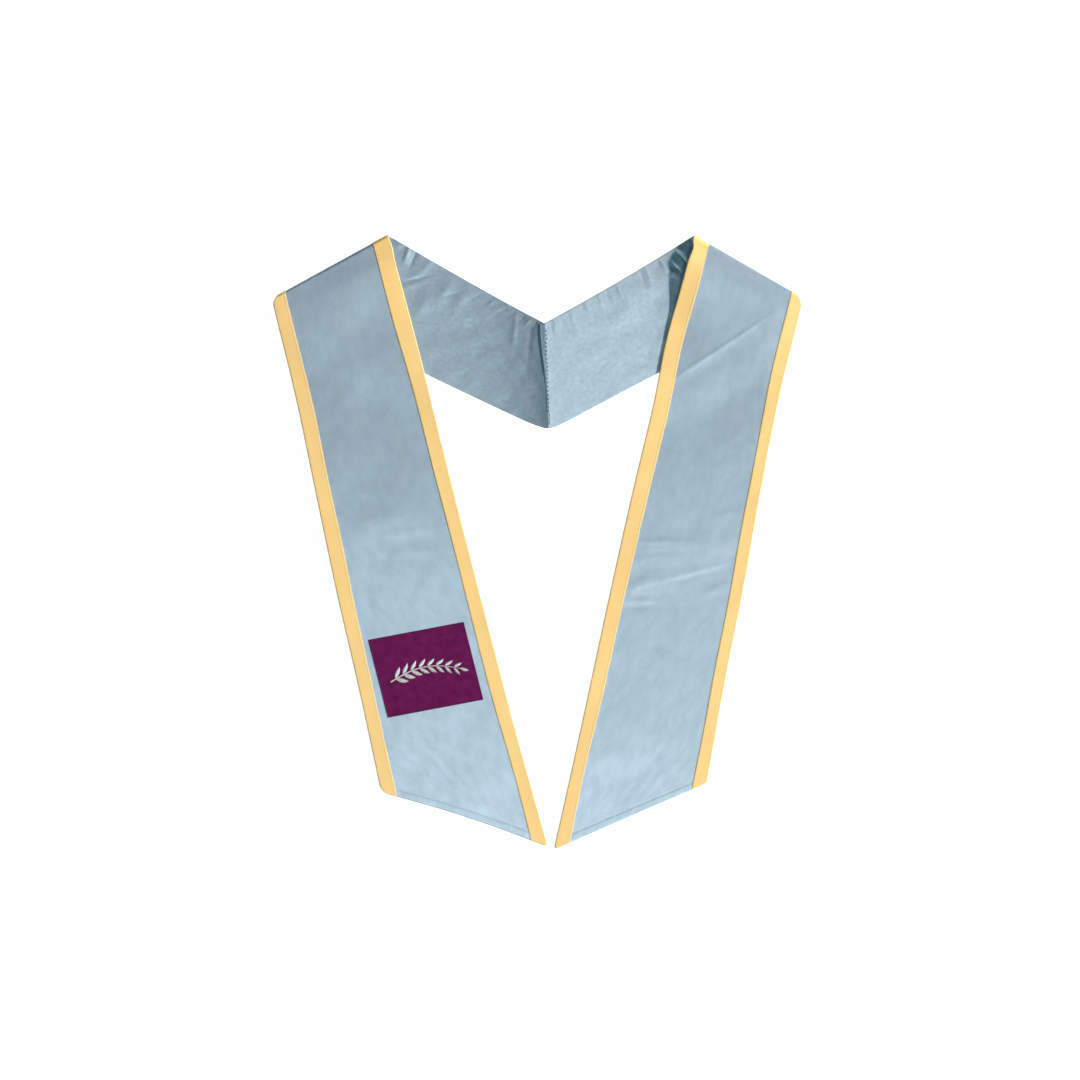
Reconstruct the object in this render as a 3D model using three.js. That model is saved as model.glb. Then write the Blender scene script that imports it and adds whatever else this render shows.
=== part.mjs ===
// A tapered satin stole as it lies on a table: folded over at both shoulders, with the nape
// flat behind and the two pointed panels in front, laid over it.
// Millimetres, +Z up, +Y towards the neck, +X to the viewer's right.
// The origin is on the table, at the middle of the space that the stole covers.
//
// Each half is one long strip of face satin and one of lining, sewn together. A point of a half
// is found from its row (nape, shoulder fold, pointed end) and its column (neck edge to outer edge)
// on the middle surface between the two layers. Every layer is that surface, set off by its own height.
import * as THREE from "three";

// Walls, and the air between two layers that are sewn together
const CLOTH = 1.0;
const RIBBON = 1.0;
const GAP = 0.3;

// Half inch ribbon along both edges of each half. The widths given with the halves are what shows of
// it on the panel, at even steps from the fold to the hem.
const RIBBON_WIDTH = 12.7;

// Heights of the middle surface: the nape lies on its own ribbon, the panels on their lining
const PANEL_REST = GAP / 2 + CLOTH;
const NAPE_REST = RIBBON + GAP + CLOTH + GAP / 2;
const PANEL_ON_NAPE = NAPE_REST + 2 * PANEL_REST + 0.4;

// The panel comes down to the table over this distance, past the nape's outer edge
const STEP_DOWN = 28;

// Centre of the nape: the notch at the neck, the virtual corner of the outer edge and how far
// that corner is rounded up
const NOTCH = [7.0, 202.2];
const NAPE_CORNER = [10.6, 100.6];
const NAPE_ROUND = 3.6;

// The seam at the nape stands up in a low ridge, which falls away faster to the left
const RIDGE_HEIGHT = 10.0;
const RIDGE_RUN_LEFT = 48;
const RIDGE_RUN_RIGHT = 98;
const SEAM_HALF_GAP = 0.15;

// The two halves as they lie. neck and shoulder are the ends of the fold, tip and corner those of
// the hem. The wander of a panel's edge is how far it stands off its chord along X, at even steps
// from the fold to the hem. Bows are how far the middle of the other edges stands off along Y. The
// loops are the radii of the fold at its ends, and settle how far from the fold the panel stays
// lifted by it. The rounds are the radii of the three outline corners.
const HALVES = [
  {
    side: "left", turn: -1,
    neck: [-138.8, 285.0], shoulder: [-247.5, 225.4], tip: [10.3, -286.3], corner: [-145.5, -235.6],
    neckEdgeWander: [0, 0.4, -1.2, -1.7, -1.8, 0], outerEdgeWander: [0, 1.8, 0.8, -0.2, 0.6, 0],
    hemBow: 3.2, napeNeckBow: -0.8, napeOuterBow: -0.6,
    neckLoop: 4.0, shoulderLoop: 2.5, settle: 60,
    shoulderRound: 7, cornerRound: 9, tipRound: 4,
    neckRibbon: [17.0, 16.3, 14.2, 13.7, 13.1, 13.6, 13.7, 12.5, 14.0],
    outerRibbon: [13.6, 13.7, 14.3, 14.0, 14.6, 13.8, 13.2, 13.0, 13.4],
  },
  {
    side: "right", turn: 1,
    neck: [146.3, 284.7], shoulder: [248.6, 226.1], tip: [15.4, -289.2], corner: [158.5, -226.9],
    neckEdgeWander: [0, -2.8, -3.0, -2.1, -0.6, 0], outerEdgeWander: [0, -3.9, -3.8, -1.8, -1.7, 0],
    hemBow: 0.4, napeNeckBow: -1.6, napeOuterBow: 1.5,
    neckLoop: 5.6, shoulderLoop: 2.5, settle: 76,
    shoulderRound: 9, cornerRound: 4, tipRound: 5,
    neckRibbon: [13.4, 15.2, 15.0, 15.2, 14.5, 13.8, 13.5, 11.9, 13.2],
    outerRibbon: [12.2, 12.7, 11.5, 11.2, 12.1, 11.8, 11.8, 11.6, 12.8],
  },
];

// The main folds in the cloth: where the middle of each lies, half its length and half its width,
// how high it stands, and which way it runs in degrees from +X. The first two are the gathers
// that the shoulder folds push into the nape.
const FOLDS = [
  { x: -88, y: 224, run: 34, spread: 14, rise: 1.2, turn: -24 },
  { x: 92, y: 226, run: 30, spread: 13, rise: 1.1, turn: 40 },
  { x: 170, y: 172, run: 52, spread: 9, rise: 0.8, turn: 33 },
  { x: 142, y: -8, run: 40, spread: 12, rise: 0.9, turn: 9 },
  { x: 128, y: -34, run: 34, spread: 11, rise: 0.6, turn: 14 },
  { x: -133, y: 18, run: 44, spread: 16, rise: 0.8, turn: 8 },
  { x: 92, y: -196, run: 48, spread: 18, rise: 0.6, turn: 24 },
  { x: -176, y: 150, run: 46, spread: 20, rise: 0.8, turn: 84 },
];

// Rows near the fold and near the hem follow the rounded corners, at these distances from them.
// The nape's even rows begin at NAPE_START from the fold.
const NEAR_FOLD = [0, 2, 5, 9, 15, 24];
const NEAR_HEM = [12, 7, 3.5, 1.2, 0];
const NAPE_START = 18;
const NAPE_LENGTH = 200;
const PANEL_LENGTH = 545;
const PANEL_ROWS = 22;
const NAPE_ROWS = 9;
const FOLD_ROWS = 6;
const MIDDLE_COLUMNS = 5;

// The bow of a hem dies out over this distance from it
const HEM_BOW_REACH = 90;

// The plum patch on the left panel: its middle, its size, how its top rises and its sides lean in
// degrees, and how many facets it has across and down
const PATCH = {
  x: -103.9, y: -120.7, width: 90.5, height: 74.5, rise: 10.7, lean: 14.2, across: 6, down: 5,
};

// The lap of the seam at the nape, pressed to one side and wider at the neck
const LAP = { neckLeft: 4.7, outerLeft: 1.2, right: 1.6, rows: 10 };

const SATIN_BLUE = 0xa5beca;
const LINING_BLUE = 0x9fb9c6;
const RIBBON_GOLD = 0xfad68e;
const PATCH_PLUM = 0x631d4c;

const mix = (a, b, t) => a + (b - a) * t;
const mix2 = (a, b, t) => [mix(a[0], b[0], t), mix(a[1], b[1], t)];
const minus = (a, b) => [a[0] - b[0], a[1] - b[1]];
const dot = (a, b) => a[0] * b[0] + a[1] * b[1];
const length2 = (a) => Math.hypot(a[0], a[1]);
const unit = (a) => [a[0] / length2(a), a[1] / length2(a)];
const sine = (a, b) => Math.abs(a[0] * b[1] - a[1] * b[0]) / (length2(a) * length2(b));
const degrees = (a) => (a * Math.PI) / 180;
const bump = (t) => 4 * t * (1 - t);
const clamp01 = (t) => Math.min(1, Math.max(0, t));
const smooth = (t) => clamp01(t) ** 2 * (3 - 2 * clamp01(t));

// How far a corner of the given radius has cut into its edge at distance d from the corner
const inset = (d, radius) => (d < radius ? radius - Math.sqrt(radius ** 2 - (radius - d) ** 2) : 0);

// Distance of a point from the line through a and b
const offLine = (p, a, b) => Math.abs(dot(minus(p, a), unit([a[1] - b[1], b[0] - a[0]])));

// Which side of the nape's outer edge a point lies on: positive over the nape, in millimetres
function overNape(half, p) {
  const across = unit([half.shoulder[1] - NAPE_CORNER[1], NAPE_CORNER[0] - half.shoulder[0]]);
  const side = Math.sign(dot(minus(half.neck, half.shoulder), across));
  return side * dot(minus(p, half.shoulder), across);
}

// A smooth curve through a short row of values at even steps, read at share t
function wander(values, t) {
  const points = values.map((value, i) => new THREE.Vector2(i, value));
  return new THREE.SplineCurve(points).getPoint(clamp01(t)).y;
}

// The two edges of a half at share t of the way from the fold to the hem
function panelEdges(half, tNeck, tOuter) {
  const inner = mix2(half.neck, half.tip, tNeck);
  const outer = mix2(half.shoulder, half.corner, tOuter);
  inner[0] += wander(half.neckEdgeWander, tNeck);
  outer[0] += wander(half.outerEdgeWander, tOuter);
  return [inner, outer];
}

// The same from the fold to the seam at the nape, whose outer corner is rounded up
function napeEdges(half, tNeck, tOuter) {
  const aside = half.turn * SEAM_HALF_GAP;
  const inner = mix2(half.neck, [NOTCH[0] + aside, NOTCH[1]], tNeck);
  const outer = mix2(half.shoulder, [NAPE_CORNER[0] + aside, NAPE_CORNER[1]], tOuter);
  inner[1] += half.napeNeckBow * bump(tNeck);
  outer[1] += half.napeOuterBow * bump(tOuter);
  const above = outer[1] - NAPE_CORNER[1];
  outer[1] += Math.hypot(above, NAPE_ROUND) - Math.abs(above);
  return [inner, outer];
}

// Radius of the fold at column share v: open at the neck and tight at the shoulder
const loopAt = (half, v) => mix(half.neckLoop, half.shoulderLoop, v);

// A row is one of three kinds. share runs from the fold to the far end of the nape or the panel,
// and angle from -90 degrees under the fold to 90 degrees over it.
function rows() {
  const napeShares = NEAR_FOLD.slice(0, 4).map((d) => d / NAPE_LENGTH);
  for (let i = 0; i <= NAPE_ROWS; i += 1) napeShares.push(mix(NAPE_START / NAPE_LENGTH, 1, i / NAPE_ROWS));
  const panelShares = NEAR_FOLD.map((d) => d / PANEL_LENGTH);
  const firstMiddle = NEAR_FOLD[NEAR_FOLD.length - 1];
  for (let i = 1; i < PANEL_ROWS; i += 1) {
    panelShares.push(mix(firstMiddle, PANEL_LENGTH - NEAR_HEM[0], i / PANEL_ROWS) / PANEL_LENGTH);
  }
  panelShares.push(...NEAR_HEM.map((d) => 1 - d / PANEL_LENGTH));
  const fold = [];
  for (let i = 1; i < FOLD_ROWS; i += 1) fold.push(-90 + (180 * i) / FOLD_ROWS);
  return [
    ...napeShares.reverse().map((share) => ({ kind: "nape", share })),
    ...fold.map((angle) => ({ kind: "fold", angle })),
    ...panelShares.map((share) => ({ kind: "panel", share })),
  ];
}

// Both edges of a row, as column share v sees them: the fold's loop is wider at the neck, so each
// column leaves it at its own distance
function rowEdges(half, row, v) {
  const radius = loopAt(half, v);
  const farEnds = row.kind === "nape" || row.angle < 0 ? [NOTCH, NAPE_CORNER] : [half.tip, half.corner];
  const reach = farEnds.map((end) => offLine(end, half.neck, half.shoulder));
  const edges = row.kind === "nape" || row.angle < 0 ? napeEdges : panelEdges;
  const shares =
    row.kind === "fold"
      ? reach.map((r) => (radius * (1 - Math.cos(degrees(row.angle)))) / r)
      : reach.map((r) => mix(radius / r, 1, row.share));
  return edges(half, ...shares);
}

// Widths of the two ribbons at a row. Under the nape they have even ribbon.
function ribbonWidths(half, row) {
  return [half.neckRibbon, half.outerRibbon].map((widths) =>
    row.kind === "panel" ? wander(widths, row.share) : mix(widths[0], RIBBON_WIDTH, smooth((row.share ?? 0) * 5)));
}

// How much of a row's own direction its ribbons take at each edge
function ribbonShares(half, row) {
  const [inner, outer] = rowEdges(half, row, 0.5);
  const along = minus(outer, inner);
  const front = { nape: 0, fold: ((row.angle ?? 0) + 90) / 180, panel: 1 }[row.kind];
  const neckSine = mix(
    sine(along, minus(NOTCH, half.neck)), sine(along, minus(half.tip, half.neck)), front);
  const outerSine = mix(
    sine(along, minus(NAPE_CORNER, half.shoulder)), sine(along, minus(half.corner, half.shoulder)), front);
  const whole = length2(along);
  const [neckWidth, outerWidth] = ribbonWidths(half, row);
  return [neckWidth / (neckSine * whole), outerWidth / (outerSine * whole)];
}

// Shares of a row at which its columns stand: edge, ribbon, the open satin, ribbon, edge
function columnShares(half, row) {
  const [neckRibbon, outerRibbon] = ribbonShares(half, row);
  const shares = [0];
  for (let i = 0; i <= MIDDLE_COLUMNS; i += 1) {
    shares.push(mix(neckRibbon, 1 - outerRibbon, i / MIDDLE_COLUMNS));
  }
  return [...shares, 1];
}

// Plan position of a point, with the outline's corners rounded off
function planPoint(half, row, v) {
  const [inner, outer] = rowEdges(half, row, v);
  const along = unit(minus(outer, inner));
  let point = mix2(inner, outer, v);
  const cuts = [0, 0];
  if (row.kind === "panel") {
    const toHem = (1 - row.share) * PANEL_LENGTH;
    cuts[0] = inset(toHem, half.tipRound);
    cuts[1] = inset(toHem, half.cornerRound);
    point[1] += half.hemBow * bump(v) * smooth(1 - toHem / HEM_BOW_REACH);
  }
  cuts[1] = Math.max(cuts[1], inset(offLine(outer, half.neck, half.shoulder), half.shoulderRound));
  if (v === 0) point = [point[0] + along[0] * cuts[0], point[1] + along[1] * cuts[0]];
  if (v === 1) point = [point[0] - along[0] * cuts[1], point[1] - along[1] * cuts[1]];
  return point;
}

// A fold is a long low hump in the cloth
function foldRise(p) {
  let rise = 0;
  for (const fold of FOLDS) {
    const [dx, dy] = [p[0] - fold.x, p[1] - fold.y];
    const [c, s] = [Math.cos(degrees(fold.turn)), Math.sin(degrees(fold.turn))];
    const [run, across] = [(dx * c + dy * s) / fold.run, (dy * c - dx * s) / fold.spread];
    rise += fold.rise * Math.exp(-run * run - across * across);
  }
  return rise;
}

const seamX = (y) => mix(NOTCH[0], NAPE_CORNER[0], (NOTCH[1] - y) / (NOTCH[1] - NAPE_CORNER[1]));

// Height of the nape: flat on the table, with the seam's ridge
function napeHeight(p) {
  const aside = p[0] - seamX(p[1]);
  const run = aside < 0 ? RIDGE_RUN_LEFT : RIDGE_RUN_RIGHT;
  const ridge = RIDGE_HEIGHT * clamp01(1 - Math.abs(aside) / run);
  return NAPE_REST + ridge + foldRise(p);
}

// Height of a panel: lifted by the fold's loop, lying on the nape, then stepping down to the table
function panelHeight(half, p, v) {
  const radius = loopAt(half, v);
  const fromFold = offLine(p, half.neck, half.shoulder);
  const lift = NAPE_REST + 2 * radius - PANEL_ON_NAPE;
  const fade = (1 + Math.cos(Math.PI * clamp01((fromFold - radius) / half.settle))) / 2;
  const step = smooth(1 + overNape(half, p) / STEP_DOWN);
  return mix(PANEL_REST, PANEL_ON_NAPE, step) + lift * fade + foldRise(p);
}

function surfacePoint(half, row, v) {
  const p = planPoint(half, row, v);
  let z;
  if (row.kind === "nape") z = napeHeight(p);
  else if (row.kind === "panel") z = panelHeight(half, p, v);
  else z = NAPE_REST + loopAt(half, v) * (1 + Math.sin(degrees(row.angle)));
  return new THREE.Vector3(p[0], p[1], z);
}

// The middle surface of a half as a grid of points with the direction of its face side at each.
// The face side is up on the panel and down at the nape.
function middleSurface(half) {
  const grid = rows().map((row) => columnShares(half, row).map((v) => surfacePoint(half, row, v)));
  const last = grid.length - 1;
  const side = grid[0].length - 1;
  const normals = grid.map((line, i) =>
    line.map((_, j) => {
      const along = grid[Math.min(last, i + 1)][j].clone().sub(grid[Math.max(0, i - 1)][j]);
      const across = grid[i][Math.min(side, j + 1)].clone().sub(grid[i][Math.max(0, j - 1)]);
      return along.cross(across).multiplyScalar(half.turn).normalize();
    }),
  );
  // both halves end in the same upright plane at the seam
  normals[0].forEach((n) => n.set(0, 0, -1));
  return { grid, normals };
}

// One layer of a half: the columns that it covers, between two heights over the middle surface
function layer({ grid, normals }, firstColumn, lastColumn, low, high) {
  const set = (height) =>
    grid.map((line, i) =>
      line
        .slice(firstColumn, lastColumn + 1)
        .map((p, j) => p.clone().addScaledVector(normals[i][j + firstColumn], height)),
    );
  return shell(set(high), set(low));
}

// A closed wall between two grids of points
function shell(face, back) {
  const [rowCount, columnCount] = [face.length, face[0].length];
  const points = [...face.flat(), ...back.flat()];
  const at = (i, j, layerIndex) => layerIndex * rowCount * columnCount + i * columnCount + j;
  const triangles = [];
  const quad = (a, b, c, d) => triangles.push([a, b, c], [a, c, d]);
  for (let i = 0; i + 1 < rowCount; i += 1) {
    for (let j = 0; j + 1 < columnCount; j += 1) {
      quad(at(i, j, 0), at(i + 1, j, 0), at(i + 1, j + 1, 0), at(i, j + 1, 0));
      triangles.push([at(i, j, 1), at(i + 1, j + 1, 1), at(i + 1, j, 1)]);
      triangles.push([at(i, j, 1), at(i, j + 1, 1), at(i + 1, j + 1, 1)]);
    }
  }
  const rim = [];
  for (let j = 0; j + 1 < columnCount; j += 1) rim.push([0, j]);
  for (let i = 0; i + 1 < rowCount; i += 1) rim.push([i, columnCount - 1]);
  for (let j = columnCount - 1; j > 0; j -= 1) rim.push([rowCount - 1, j]);
  for (let i = rowCount - 1; i > 0; i -= 1) rim.push([i, 0]);
  rim.forEach(([i, j], k) => {
    const [nextI, nextJ] = rim[(k + 1) % rim.length];
    quad(at(i, j, 0), at(nextI, nextJ, 0), at(nextI, nextJ, 1), at(i, j, 1));
  });
  // faces point out when the solid's volume comes out positive
  const volume = triangles.reduce(
    (sum, [a, b, c]) => sum + points[a].dot(points[b].clone().cross(points[c])), 0);
  if (volume < 0) triangles.forEach((t) => t.reverse());
  const geometry = new THREE.BufferGeometry().setFromPoints(points);
  geometry.setIndex(triangles.flat());
  geometry.computeVertexNormals();
  return geometry;
}

const finish = (color, roughness) => new THREE.MeshStandardMaterial({ color, roughness, metalness: 0 });

function addMesh(group, name, geometry, material) {
  const mesh = new THREE.Mesh(geometry, material);
  mesh.name = name;
  group.add(mesh);
}

// One half: face satin, lining, and a ribbon along each edge of the face
function buildHalf(half) {
  const group = new THREE.Group();
  const surface = middleSurface(half);
  const lastColumn = surface.grid[0].length - 1;
  const faceTop = GAP / 2 + CLOTH;
  const ribbonLow = faceTop + GAP;
  addMesh(group, `${half.side}_face_satin`,
    layer(surface, 0, lastColumn, GAP / 2, faceTop), finish(SATIN_BLUE, 0.45));
  addMesh(group, `${half.side}_lining`,
    layer(surface, 0, lastColumn, -faceTop, -GAP / 2), finish(LINING_BLUE, 0.45));
  addMesh(group, `${half.side}_neck_ribbon`,
    layer(surface, 0, 1, ribbonLow, ribbonLow + RIBBON), finish(RIBBON_GOLD, 0.5));
  addMesh(group, `${half.side}_outer_ribbon`,
    layer(surface, lastColumn - 1, lastColumn, ribbonLow, ribbonLow + RIBBON), finish(RIBBON_GOLD, 0.5));
  return group;
}

// The patch lies on the left panel's satin and follows it
function buildPatch(half) {
  const across = [Math.cos(degrees(PATCH.rise)), Math.sin(degrees(PATCH.rise))];
  const down = [Math.sin(degrees(PATCH.lean)), -Math.cos(degrees(PATCH.lean))];
  const set = (height) => {
    const lines = [];
    for (let i = 0; i <= PATCH.down; i += 1) {
      const line = [];
      for (let j = 0; j <= PATCH.across; j += 1) {
        const a = (j / PATCH.across - 0.5) * PATCH.width;
        const d = (i / PATCH.down - 0.5) * PATCH.height;
        const p = [PATCH.x + across[0] * a + down[0] * d, PATCH.y + across[1] * a + down[1] * d];
        line.push(new THREE.Vector3(p[0], p[1], panelHeight(half, p, 0.5) + height));
      }
      lines.push(line);
    }
    return lines;
  };
  const low = GAP / 2 + CLOTH + GAP;
  return shell(set(low + RIBBON), set(low));
}

// The lap covers the seam on the lining's side, over the ridge
function buildLap() {
  const set = (height) => {
    const lines = [];
    for (let i = 0; i <= LAP.rows; i += 1) {
      const t = i / LAP.rows;
      const bottom = NAPE_CORNER[1] + NAPE_ROUND;
      const y = mix(NOTCH[1] - 0.5, bottom + 0.5, t);
      const left = mix(LAP.neckLeft, LAP.outerLeft, smooth(t / 0.7));
      lines.push([-left, 0, LAP.right].map((dx) => {
        const x = seamX(y) + dx;
        return new THREE.Vector3(x, y, napeHeight([x, y]) + height);
      }));
    }
    return lines;
  };
  const low = GAP / 2 + CLOTH + GAP;
  return shell(set(low + CLOTH), set(low));
}

const stole = new THREE.Group();
for (const half of HALVES) stole.add(buildHalf(half));
addMesh(stole, "nape_seam_lap", buildLap(), finish(LINING_BLUE, 0.45));
addMesh(stole, "patch", buildPatch(HALVES[0]), finish(PATCH_PLUM, 0.6));

export default stole;
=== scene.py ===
"""A tapered satin stole lying on a pale floor, folded over at both shoulders.

Lengths are worked out in millimetres, as the pattern of the stole is, and are put into the meshes
in metres. Each half is one strip from the seam of the nape, round the shoulder fold, to the pointed
end. A point of a strip is found on the middle surface between face satin and lining, and each layer
of cloth is that surface, set off along its normal.
"""
import math

import bpy
import numpy as np
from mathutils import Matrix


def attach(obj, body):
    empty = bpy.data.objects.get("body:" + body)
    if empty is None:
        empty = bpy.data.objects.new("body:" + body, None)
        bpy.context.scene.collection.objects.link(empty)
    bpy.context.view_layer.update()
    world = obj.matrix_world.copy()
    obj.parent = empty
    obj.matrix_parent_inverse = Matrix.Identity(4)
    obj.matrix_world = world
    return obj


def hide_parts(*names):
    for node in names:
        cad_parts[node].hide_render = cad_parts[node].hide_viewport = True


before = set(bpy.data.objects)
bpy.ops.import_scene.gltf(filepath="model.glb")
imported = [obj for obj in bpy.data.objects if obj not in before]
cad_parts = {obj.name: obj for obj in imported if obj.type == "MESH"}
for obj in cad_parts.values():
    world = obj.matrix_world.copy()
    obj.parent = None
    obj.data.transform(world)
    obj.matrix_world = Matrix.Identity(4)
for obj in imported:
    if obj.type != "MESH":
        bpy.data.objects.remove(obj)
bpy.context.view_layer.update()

scene = bpy.context.scene
MM = 0.001

# Thickness of each layer, the air between layers and the rounding of their edges
SATIN_WALL = 0.44
LINING_WALL = 0.44
SEAM_GAP = 0.03
RIBBON_WALL = 0.32
RIBBON_WIDTH = 12.7
RIBBON_RIM = 0.15
LAYER_AIR = 0.04
CLOTH_RIM = 0.9
FACE_TOP = SEAM_GAP + SATIN_WALL
RIBBON_LOW = FACE_TOP + LAYER_AIR
RIBBON_TOP = RIBBON_LOW + RIBBON_WALL

# Heights of the middle surface over the floor. The nape lies on the stitches of its ribbons, and a
# panel comes down from the nape to the floor over the length of STEP_DOWN
FLOOR_AIR = 0.02
STITCH_PROUD = 0.22
AIR_ON_NAPE = 1.25
PANEL_EASE = 0.45
NAPE_EASE = 0.6
PANEL_REST = SEAM_GAP + LINING_WALL + FLOOR_AIR
NAPE_REST = RIBBON_TOP + STITCH_PROUD
PANEL_ON_NAPE = NAPE_REST + 2 * FACE_TOP + AIR_ON_NAPE
STEP_DOWN = 60.0
SWELL_RUN = 22
EASE_RUN = 18

# Centre of the nape, with the ridge along its seam and the narrow crest on that
NOTCH = (7.0, 202.2)
NAPE_CORNER = (10.6, 100.6)
NAPE_ROUND = 3.6
RIDGE_HEIGHT = 15.0
RIDGE_RUN_LEFT = 46.0
RIDGE_RUN_RIGHT = 104.0
CREST_HEIGHT = 0.35
CREST_RUN = 6.0
SEAM_HALF_GAP = 0.1
NAPE_SEEN = (-150, 160)
NAPE_SEEN_FADE = 14

# Each half: its four corners in plan, how its edges wander from straight, its fold and its ribbons.
# sway holds broad swells across the whole panel, each with its middle's y, its run and its height
HALVES = {
    "left": dict(
        turn=-1,
        neck=(-138.8, 285.0), shoulder=(-247.5, 225.4), tip=(10.3, -286.3), corner=(-145.5, -235.6),
        neck_wander=(0, 0.4, -1.2, -1.7, -1.8, 0), outer_wander=(0, 1.8, 0.8, -0.2, 0.6, 0),
        hem_bow=3.2, nape_neck_bow=-0.8, nape_outer_bow=-0.6,
        neck_loop=3.0, shoulder_loop=1.6, swell=0.6, settle=84.0, sway=((30, 99, 3.2),),
        pucker=1.0, neck_sag=0.0,
        shoulder_round=7.0, corner_round=9.0, tip_round=4.0,
        neck_ribbon=(15.8, 16.4, 14.2, 13.7, 13.1, 13.6, 13.7, 12.5, 14.0),
        outer_ribbon=(13.6, 13.7, 14.3, 14.0, 14.6, 13.8, 13.2, 13.0, 13.4),
    ),
    "right": dict(
        turn=1,
        neck=(146.3, 284.7), shoulder=(248.6, 226.1), tip=(15.4, -289.2), corner=(158.5, -226.9),
        neck_wander=(0, -0.6, -2.6, -2.1, -0.6, 0), outer_wander=(0, -3.9, -3.8, -1.8, -1.7, 0),
        hem_bow=0.4, nape_neck_bow=-1.6, nape_outer_bow=1.5,
        neck_loop=4.5, shoulder_loop=1.6, swell=3.0, settle=80.0, sway=((60, 90, 2.2), (-60, 60, -0.45)),
        pucker=1.8, neck_sag=-3.2,
        shoulder_round=9.0, corner_round=4.0, tip_round=5.0,
        neck_ribbon=(15.2, 15.6, 15.3, 15.2, 14.5, 13.8, 13.5, 11.9, 13.2),
        outer_ribbon=(12.2, 12.7, 11.5, 11.2, 12.1, 11.8, 11.8, 11.6, 12.8),
    ),
}
PANEL_LENGTH = 545.0
NAPE_LENGTH = 200.0
HEM_BOW_REACH = 90.0

# The neck edge is drawn aside just past the fold, over a share of the panel, and sags further down
PUCKER_FROM = 0.012
PUCKER_TOP = 0.013
PUCKER_FADE = 0.016
SAG_TOP = 0.17
SAG_RUN = 0.08

# Rows of a strip: on the nape, round the fold and on the panel. Those by the fold and by the hem
# stand close, and the panel's others crowd towards the fold, where its creases are
CLOTH_ROWS = (150, 26, 266)
RIBBON_ROWS = (110, 26, 266)
BY_FOLD = np.array([0, 0.6, 1.4, 2.5, 4, 6, 8.5, 11.5, 15])
BY_HEM = np.array([15, 12, 10.5, 9.2, 8.4, 7.9, 7.5, 7.1, 6.6, 5.6, 4.4, 3.2, 2.2, 1.4, 0.8, 0.4, 0.15, 0])
OTHERS_FROM = 17
CROWDING = ([0, 0.52, 0.83, 1], [OTHERS_FROM, 190, 350, PANEL_LENGTH - OTHERS_FROM])

# Columns across a strip: the first ones from its edges, and how many stand between them
CLOTH_EDGE_STEPS = (0, 0.12, 0.4, 0.9, 1.8)
CLOTH_COLUMNS = 70
RIBBON_EDGE_STEPS = (0, 0.12, 0.4, 0.9)
RIBBON_COLUMNS = 5

# Folds, each with its middle's x and y, half length, half width, height and direction in degrees.
# These run through nape and panel alike
FOLDS = np.array([
    (-88, 224, 34, 14, 0.8, -24), (92, 226, 30, 13, 0.8, 40),
    (174, 170, 52, 10, -0.35, 33), (142, -8, 40, 12, 0.5, 9),
    (128, -34, 34, 11, 0.4, 14), (-133, 18, 44, 16, 0.5, 8),
    (92, -196, 48, 18, 0.4, 24), (-176, 150, 46, 20, 0.5, 84),
])

# Fine wrinkles of the nape's lining, seen only between the panels
NAPE_WRINKLES = np.array([
    (-121, 268, 8, 1.9, 1.1, 74), (-116, 262, 7, 1.4, -0.8, 68),
    (-127, 277, 4, 1.3, 0.5, 60), (-108, 266, 5, 1.2, 0.35, -42),
    (-101, 262, 5, 1.2, 0.3, -44), (-113, 244, 12, 1.2, -0.55, 14),
    (-112, 240, 13, 3.0, 0.35, 16), (-104, 255, 10, 3.4, 0.4, 40),
    (-107, 218, 11, 7.0, 0.7, 60), (-86, 232, 12, 5.5, 0.6, 55),
    (-70, 224, 11, 5.5, 0.55, 58), (-78, 230, 9, 1.6, -0.35, 14),
    (-56, 228, 6, 1.4, -0.22, 30), (-43, 221, 5, 1.6, 0.2, 36),
    (-31, 215, 4, 1.3, -0.22, 24), (-21, 209, 5, 1.2, 0.34, 28),
    (-14, 207, 4, 1.1, -0.26, 40), (-8, 204, 4, 1.2, 0.38, 34),
    (-2, 201, 4, 1.0, -0.32, 60), (-21, 196, 14, 2.4, 0.4, 84),
    (-7, 184, 18, 2.6, -0.35, 84), (13, 199, 6, 1.1, -0.7, -68),
    (17, 202, 6, 1.1, 0.6, -66), (23, 205, 7, 1.3, -0.55, -64),
    (33, 208, 8, 1.9, 0.65, -68), (47, 216, 8, 2.0, 0.65, -70),
    (59, 224, 7, 1.6, 0.55, -66), (66, 228, 6, 1.4, -0.5, -64),
    (77, 232, 8, 1.8, 0.7, -66), (84, 226, 9, 2.2, 0.6, -66),
    (98, 245, 8, 1.5, -0.6, -68), (104, 247, 9, 1.9, 0.75, -66),
    (113, 259, 5, 1.1, -0.6, -56), (118, 257, 6, 1.6, 0.6, -54),
    (135.2, 264.5, 9, 1.1, -0.9, -51), (130.5, 254.5, 6, 1.0, -0.7, -50),
    (108, 233, 9, 4.0, 0.4, -30), (103, 176, 4, 0.9, -0.4, -46),
    (66, 132, 12, 7.0, 0.5, 30), (133, 271.5, 8, 3.6, 0.8, -38),
    (128.5, 260, 8, 3.4, 0.8, -56), (126.5, 250, 7, 3.2, 0.75, -34),
    (139, 279.5, 5, 2.4, 0.8, 12),
])

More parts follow.
